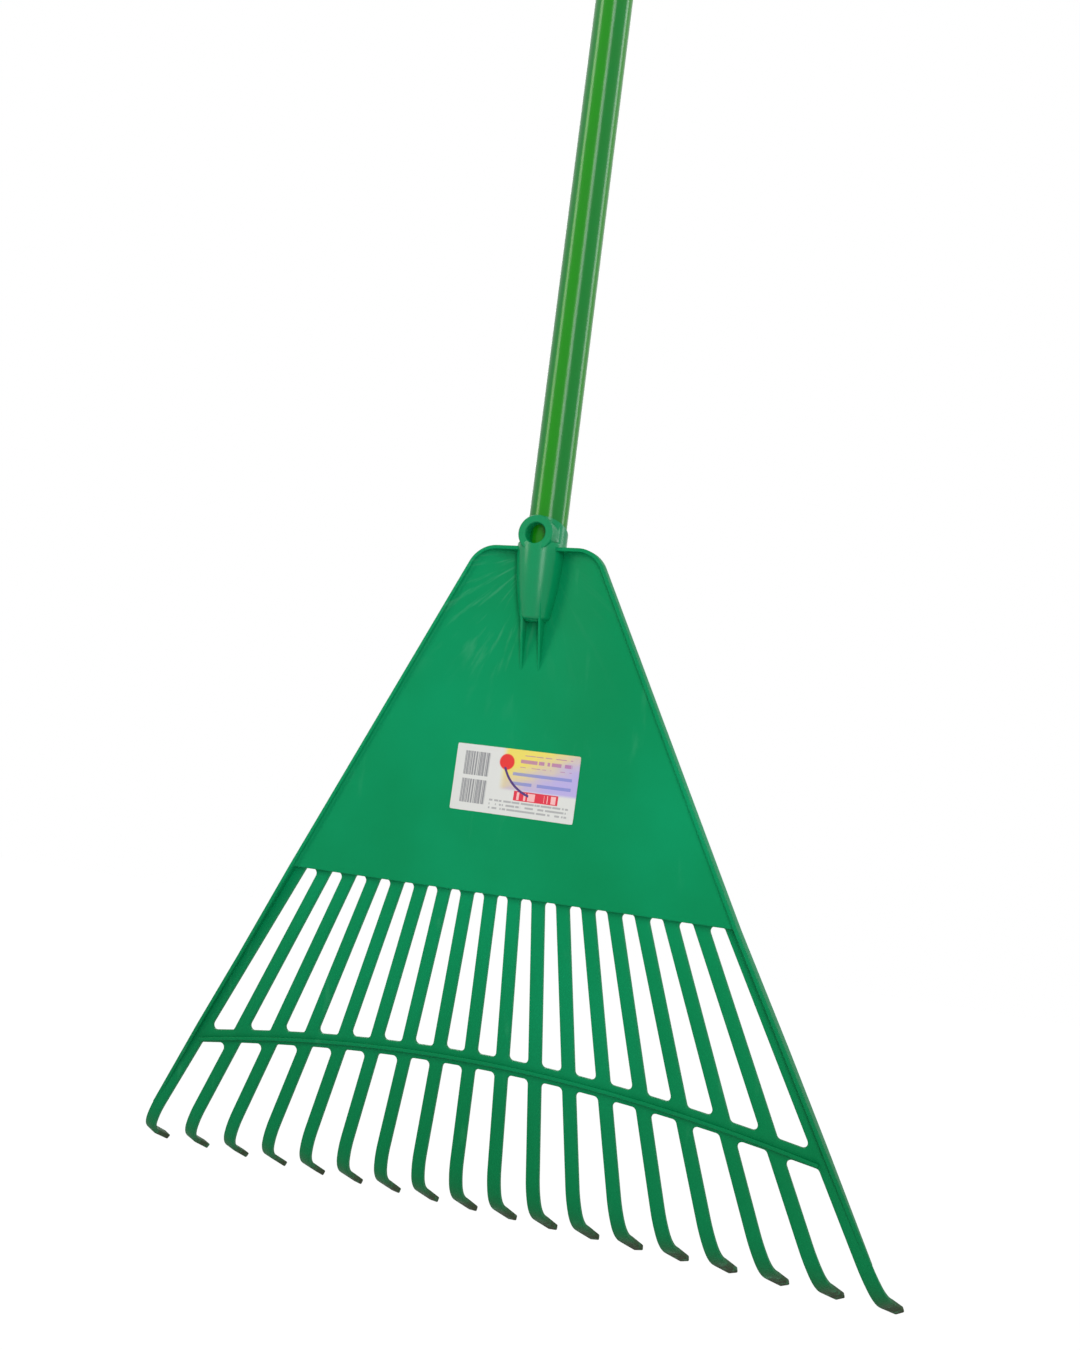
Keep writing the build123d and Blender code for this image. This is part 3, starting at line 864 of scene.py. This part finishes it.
# The hooks go on from the flat part: a slack bend, a tight bend and a straight, narrowing end.
slack_radius, slack_turn = 40.0, math.radians(20)
tight_radius, hook_turn = 18.0, math.radians(63)
hook_length, tip_width, taper = 23.7, 5.2, 21.5
bend_drop, bend_sag = 158.5, 2.6
tip_rounding, tip_shrink = 1.6, 0.32
flat_steps, slack_steps, tight_steps, end_steps = 3, 8, 14, 12
tip_crowding = 1.6
for tine in range(tine_count):
    turn = tine_angle(tine)
    share = 2 * tine / (tine_count - 1) - 1
    bend = (fan_height + bend_drop + bend_sag * share**2) / math.cos(turn)
    bend -= slack_radius * math.sin(slack_turn)
    begin = cut_reach(tine)
    path = [(begin + (bend - begin) * k / flat_steps, 0, 0) for k in range(flat_steps + 1)]
    for k in range(1, slack_steps + 1):
        a = slack_turn * k / slack_steps
        path.append((bend + slack_radius * math.sin(a), slack_radius * (1 - math.cos(a)), a))
    reach, deep, _ = path[-1]
    for k in range(1, tight_steps + 1):
        a = slack_turn + (hook_turn - slack_turn) * k / tight_steps
        further = tight_radius * (math.sin(a) - math.sin(slack_turn))
        deeper = tight_radius * (math.cos(slack_turn) - math.cos(a))
        path.append((reach + further, deep + deeper, a))
    reach, deep, a = path[-1]
    for k in range(1, end_steps + 1):
        out = hook_length * (1 - (1 - k / end_steps) ** tip_crowding)
        path.append((reach + out * math.cos(a), deep + out * math.sin(a), a))
    rings = []
    for reach, deep, a in path:
        gone = max(0, (reach - path[-1][0]) / math.cos(hook_turn) + taper) if a == hook_turn else 0
        half = tine_width / 2 - (tine_width - tip_width) / 2 * min(gone / taper, 1)
        soft = 1 - tip_shrink * max(0, 1 - (taper - gone) / tip_rounding) ** 2
        ring = []
        for side, edge in ((1, round_edge), (-1, round_edge[::-1])):
            for d, y in edge:
                wide = side * (half - outer_inset(tine, side) - d) * soft
                thick = y * soft
                r = reach - thick * math.sin(a)
                x = r * math.sin(turn) + wide * math.cos(turn)
                h = fan_height - r * math.cos(turn) + wide * math.sin(turn)
                ring.append(put(Vector((x, h)), deep + thick * math.cos(a)))
        rings.append(ring)
    for one, two in zip(rings, rings[1:]):
        for k in range(len(one)):
            after = (k + 1) % len(one)
            faces.append((one[k], one[after], two[after], two[k]))
    faces.append(rings[-1])
comb = make_mesh("tines_and_cross_bar", points, faces, crease=40)
tine_nodes = ["tine_%02d" % (tine + 1) for tine in range(tine_count)]
settle(comb, head_green, "head", "head_plastic", "cross_bar", *tine_nodes)

# ---------------------------------------------------------------- rib on the cross bar
# A thin rib runs along the bar's front over the tines, from one flange to the other. Its
# front edges are rounded.
rib_half, rib_foot, rib_front, rib_rounding = 1, -1.1, -3.2, 0.5
rib_half_length, rib_steps = 182.5, 96
corner = rib_half - rib_rounding
rib_section = [(-rib_half, rib_foot), (-rib_half, rib_front)]
rib_section += arc((-corner, rib_front), rib_rounding, 180, 270, 4)[1:]
rib_section += arc((corner, rib_front), rib_rounding, 270, 360, 4)[:-1]
rib_section += [(rib_half, rib_front), (rib_half, rib_foot)]
rib_rings = []
for k in range(rib_steps + 1):
    x = -rib_half_length + 2 * rib_half_length * k / rib_steps
    slant = math.atan(-2 * bar_sag * x / bar_half_length**2)
    rib_rings.append(
        [
            head(x - across * math.sin(slant), bar_line(x) + across * math.cos(slant), back)
            for across, back in rib_section
        ]
    )
rib = swept("cross_bar_rib_front", rib_rings)
settle(rib, head_green, "head", "head_plastic", "cross_bar_rib")

# ---------------------------------------------------------------- gussets under the socket
# Two thin gussets rise out of the plate and brace the socket's rounded end. Each is deepest
# at the socket and runs out to nothing below it.
gusset_end, gusset_length, gusset_steps = 123.5, 38.5, 24
gusset_rise, gusset_root, gusset_place = 9.4, 1.2, 5.3
gusset_edge = [(0.8, 0.4), (0.62, 0.1), (0.35, 0)]
for side, side_name in ((-1, "left"), (1, "right")):
    rings = []
    for k in range(gusset_steps + 1):
        height = gusset_end + gusset_length * k / gusset_steps
        crest = face_back(0, height) - gusset_rise * k / gusset_steps
        foot = face_back(0, height) + gusset_root
        edge = [(across, crest + below) for across, below in gusset_edge]
        half = [(gusset_edge[0][0], foot), *edge]
        section = [(-across, back) for across, back in half] + half[::-1]
        rings.append([head(side * gusset_place + across, height, back) for across, back in section])
    gusset = swept("gusset_" + side_name, rings)
    settle(gusset, head_green, "head", "head_plastic")

# ---------------------------------------------------------------- sticker
# A glossy paper sticker on the plate, a little askew. It is printed with plain blocks and
# bars in place of a maker's words.
sticker, start = new_finish("printed_sticker")
across = start.add("UVMap", {"uv_map": "print"}, {})
u = start.add("SeparateXYZ", {}, {0: across}, output=0)
v = start.add("SeparateXYZ", {}, {0: across}, output=1)
speckle = start.add("TexNoise", {}, {"Vector": across, "Scale": 8, "Detail": 3})
pastel = (u * 0.9 + (1 - v) * 0.9 + speckle * 0.3).ease(0.75, 1.35)
pastel = pastel.blend((0.72, 0.60, 0.12), (0.42, 0.36, 0.66))
field = u.ease(0.36, 0.42) * v.ease(0.36, 0.42)
colour = field.blend((0.62, 0.62, 0.61), pastel)


def dashes(u, v, rows, scale, seed, keep):
    """Rows of short dashes of uneven length, in place of printed words."""
    row = start.maths("FLOOR", v * rows)
    at = start.add("CombineXYZ", {}, {0: u * scale, 1: row * 3.7, 2: seed})
    cells = start.add("TexNoise", {}, {"Vector": at, "Scale": 1, "Detail": 1})
    within = start.maths("FRACT", v * rows)
    return (cells > keep) * within.between(0.25, 0.75)


bars = start.add("TexNoise", {"noise_dimensions": "1D"}, {"W": u * 95, "Scale": 1, "Detail": 1})
block = u.between(0.07, 0.27) * (v.between(0.12, 0.48) + v.between(0.54, 0.9))
colour = (block * (0.2 + 0.65 * (bars > 0.48))).blend(colour, (0.17, 0.17, 0.19))
notes = u.between(0.31, 0.95) * v.between(0.05, 0.22) * dashes(u, v, 17, 42, 4.1, 0.42)
colour = (notes * 0.6).blend(colour, (0.2, 0.2, 0.22))
small = u.between(0.52, 0.94) * v.between(0.74, 0.93) * dashes(u, v, 9, 34, 7.7, 0.47)
colour = (small * 0.75).blend(colour, (0.36, 0.10, 0.34))
bold = u.between(0.47, 0.95) * v.between(0.47, 0.66) * dashes(u, v, 5.3, 20, 2.2, 0.38)
colour = (bold * 0.75).blend(colour, (0.16, 0.20, 0.52))
red_bar = u.between(0.50, 0.86) * v.between(0.24, 0.385)
colour = red_bar.blend(colour, (0.62, 0.03, 0.06))
red_gap = red_bar * dashes(u, v + 0.03, 4.4, 30, 9.4, 0.52)
colour = (red_gap * 0.7).blend(colour, (0.85, 0.6, 0.6))
far = start.maths("SQRT", (u - 0.41) * (u - 0.41) * 4 + (v - 0.80) * (v - 0.80))
colour = (1 - far.ease(0.11, 0.13)).blend(colour, (0.66, 0.03, 0.03))
sweep_line = start.maths("SQRT", (u - 0.72) * (u - 0.72) * 3.4 + (v - 0.92) * (v - 0.92))
swoosh = sweep_line.between(0.605, 0.64) * (v < 0.72) * (u < 0.62)
colour = swoosh.blend(colour, (0.07, 0.03, 0.16))
start.finish_with(
    Base_Color=colour, Roughness=0.3 + speckle * 0.12, Specular_IOR_Level=0.35, IOR=1.5
)

label_wide, label_tall, label_turn = 73.7, 36.8, math.radians(-1)
label_middle = 61.7
label_cols, label_rows = 74, 37
label_under, label_face = 0.12, -0.15
points, faces = [], []
for layer in (label_under, label_face):
    for r in range(label_rows + 1):
        for c in range(label_cols + 1):
            a, b = c / label_cols - 0.5, r / label_rows - 0.5
            # The last few points before a corner are drawn in a little, which rounds it.
            corner = max(0, abs(a) * 2 - 0.96) / 0.04 * max(0, abs(b) * 2 - 0.93) / 0.07
            drawn = 1 - 0.008 * corner
            x = label_wide * a * drawn
            h = label_tall * b * drawn
            turned_x = x * math.cos(label_turn) - h * math.sin(label_turn)
            turned_h = label_middle + x * math.sin(label_turn) + h * math.cos(label_turn)
            points.append(head(turned_x, turned_h, face_back(turned_x, turned_h) + layer))
wide = label_cols + 1
sheet = wide * (label_rows + 1)
for r in range(label_rows):
    for c in range(label_cols):
        k = r * wide + c
        for lift in (0, sheet):
            faces.append([lift + k, lift + k + 1, lift + k + wide + 1, lift + k + wide])
rim = list(range(wide)) + [r * wide + wide - 1 for r in range(1, label_rows + 1)]
rim += [label_rows * wide + c for c in range(label_cols - 1, -1, -1)]
rim += [r * wide for r in range(label_rows - 1, 0, -1)]
for one, two in zip(rim, rim[1:] + rim[:1]):
    faces.append([one, two, two + sheet, one + sheet])
label = make_mesh("sticker", points, faces, crease=60)
print_map = label.data.uv_layers.new(name="print")
for loop in label.data.loops:
    spot = label.data.vertices[loop.vertex_index].co * 1000
    rise = (spot.z - plate_base) / math.cos(head_lean) - label_middle
    x = spot.x * math.cos(label_turn) + rise * math.sin(label_turn)
    h = rise * math.cos(label_turn) - spot.x * math.sin(label_turn)
    print_map.data[loop.index].uv = (x / label_wide + 0.5, h / label_tall + 0.5)
settle(label, sticker, "head", "sticker", "label")

# ---------------------------------------------------------------- studio
# The rake hangs over a plain white floor in a white room, lit by tall soft strips in front,
# at both sides and behind, with a weak light all round.


def seen_directly(start):
    """1 for what is looked at, mirrored or seen through, 0 for the light on the rake."""
    camera_ray, glossy_ray, through_ray = 0, 3, 6
    seen = start.add("LightPath", {}, {}, camera_ray) + start.add("LightPath", {}, {}, glossy_ray)
    return start.maths("MINIMUM", seen + start.add("LightPath", {}, {}, through_ray), 1)


world = bpy.data.worlds.new("white_room")
world.use_nodes = True
world.node_tree.nodes.clear()
bpy.context.scene.world = world
air = Wire(world.node_tree)
plain = air.add("Background", {}, {"Color": (1, 1, 1, 1), "Strength": 1})
soft = air.add("Background", {}, {"Color": (0.95, 1, 1, 1), "Strength": 0.3})
both = air.add("MixShader", {}, {0: seen_directly(air), 1: soft, 2: plain})
air.add("OutputWorld", {}, {"Surface": both})

floor_material, start = new_finish("white_floor")
paper = start.add("TexNoise", {}, {"Scale": 3, "Detail": 2})
matt = start.add("BsdfDiffuse", {}, {"Color": paper.blend((0.86, 0.86, 0.86), (0.9, 0.9, 0.9))})
white = start.add("Emission", {}, {"Color": (1, 1, 1, 1), "Strength": 1.06})
both = start.add("MixShader", {}, {0: seen_directly(start) * 0.95, 1: matt, 2: white})
start.add("OutputMaterial", {}, {"Surface": both})
floor_drop, floor_half = 0.55, 9
floor_height = cad_box[0].z - floor_drop
floor_mesh = bpy.data.meshes.new("floor")
corners = ((-1, -1), (1, -1), (1, 1), (-1, 1))
floor_points = [(floor_half * x, floor_half * y, floor_height) for x, y in corners]
floor_mesh.from_pydata(floor_points, [], [(0, 1, 2, 3)])
floor = bpy.data.objects.new("floor", floor_mesh)
floor_mesh.materials.append(floor_material)
bpy.context.scene.collection.objects.link(floor)


def strip_light(name, azimuth, distance, height, wide, tall, power, colour=(1, 1, 1)):
    """A tall soft strip that faces the rake; azimuth 0 is straight in front, 90 to the right."""
    lamp = bpy.data.lights.new(name, "AREA")
    lamp.shape = "RECTANGLE"
    lamp.size, lamp.size_y = wide, tall
    lamp.energy = power
    lamp.color = colour
    holder = bpy.data.objects.new(name, lamp)
    turn = math.radians(azimuth)
    holder.location = (distance * math.sin(turn), -distance * math.cos(turn), height)
    holder.rotation_euler = (math.radians(90), 0, turn)
    bpy.context.scene.collection.objects.link(holder)


strip_light("front_strip", 29, 1.7, -0.45, 0.45, 2.3, 27.5)
strip_light("left_strip", -52, 1.7, -0.2, 0.45, 1.9, 19, (1, 0.97, 0.85))
strip_light("right_strip", 118, 1.7, -0.2, 0.45, 1.9, 16, (0.92, 0.98, 1))
strip_light("back_strip", 205, 1.9, -0.2, 0.7, 1.9, 15)

camera = bpy.data.cameras.new("camera")
camera.lens = 37.07
camera.sensor_width = 36
camera.clip_end = 60
camera_holder = bpy.data.objects.new("camera", camera)
bpy.context.scene.collection.objects.link(camera_holder)
camera_holder.location = (0.2980, -0.7051, -1.3220)
forward = Vector((-0.3794, 0.9181, 0.1153)).normalized()
up = Vector((-0.0717, -0.1533, 0.9856))
right = forward.cross(up).normalized()
up = right.cross(forward)
camera_holder.rotation_euler = Matrix((right, up, -forward)).transposed().to_euler()
bpy.context.scene.camera = camera_holder
bpy.context.scene.view_settings.view_transform = "Standard"
